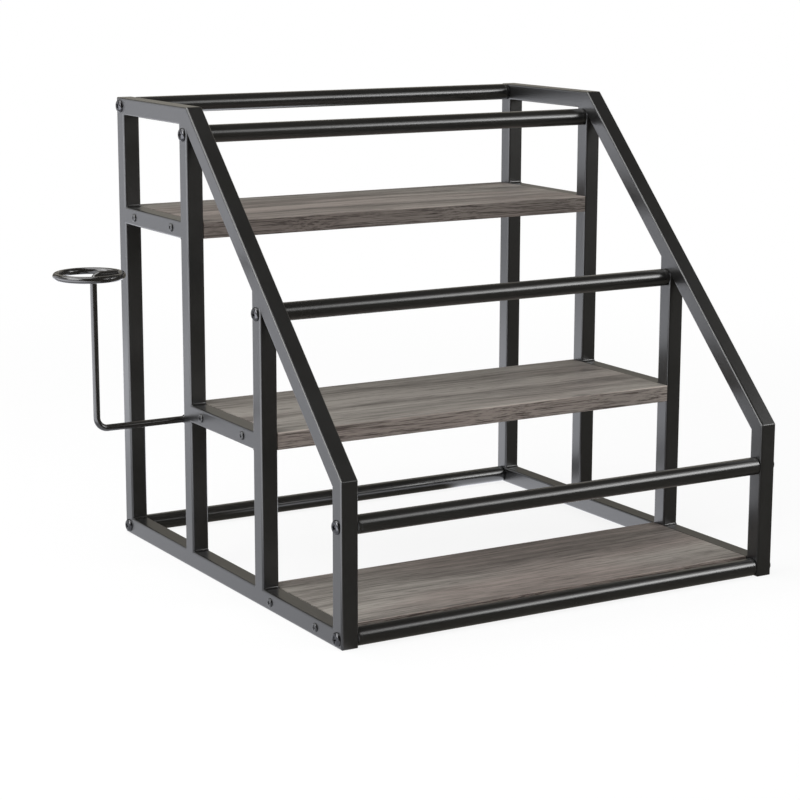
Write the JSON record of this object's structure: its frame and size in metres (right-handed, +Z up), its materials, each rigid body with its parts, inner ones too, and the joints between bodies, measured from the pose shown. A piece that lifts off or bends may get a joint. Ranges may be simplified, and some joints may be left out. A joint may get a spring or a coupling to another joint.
{
  "type": "coffee station organizer",
  "caption": "Stepped countertop rack with wooden shelves between welded square tube side frames, round retaining bars and a wire ring holder on one side.",
  "frame": {"origin": "centre of the whole outline on the surface that the rack stands on, with the ring holder counted in", "axes": "+Z up, +X to the right seen from the low front, +Y to the back"},
  "size_m": [0.4456, 0.34, 0.33],
  "materials": {
    "frame_tube": "black powder coat with a soft gloss",
    "bar": "smooth glossy black coat",
    "bolt": "polished black oxide",
    "screw": "satin black zinc",
    "board_face": "grey brown wood grain, matt",
    "board_edge": "brown wood grain edge band, matt",
    "holder_wire": "smooth glossy black coat"
  },
  "bodies": {
    "root": {"left_rear_post": "frame_tube", "left_second_post": "frame_tube", "left_third_post": "frame_tube", "left_front_post": "frame_tube", "left_bottom_rail": "frame_tube", "left_top_rail": "frame_tube", "left_slanted_rail": "frame_tube", "left_upper_shelf_rail": "frame_tube", "left_middle_shelf_rail": "frame_tube", "right_rear_post": "frame_tube", "right_second_post": "frame_tube", "right_third_post": "frame_tube", "right_front_post": "frame_tube", "right_bottom_rail": "frame_tube", "right_top_rail": "frame_tube", "right_slanted_rail": "frame_tube", "right_upper_shelf_rail": "frame_tube", "right_middle_shelf_rail": "frame_tube", "rear_top_bar": "bar", "upper_tier_bar": "bar", "middle_tier_bar": "bar", "lower_tier_bar": "bar", "front_bottom_bar": "bar", "rear_bottom_bar": "bar", "left_bar_plugs": "bar", "left_bar_bolts": "bolt", "left_shelf_screws": "screw", "right_bar_plugs": "bar", "right_bar_bolts": "bolt", "right_shelf_screws": "screw", "top_board": "board_face", "top_front_band": "board_edge", "top_rear_band": "board_edge", "middle_board": "board_face", "middle_front_band": "board_edge", "middle_rear_band": "board_edge", "bottom_board": "board_face", "bottom_front_band": "board_edge", "bottom_rear_band": "board_edge", "ring_holder": "holder_wire", "holder_screw": "screw"}
  },
  "joints": []
}
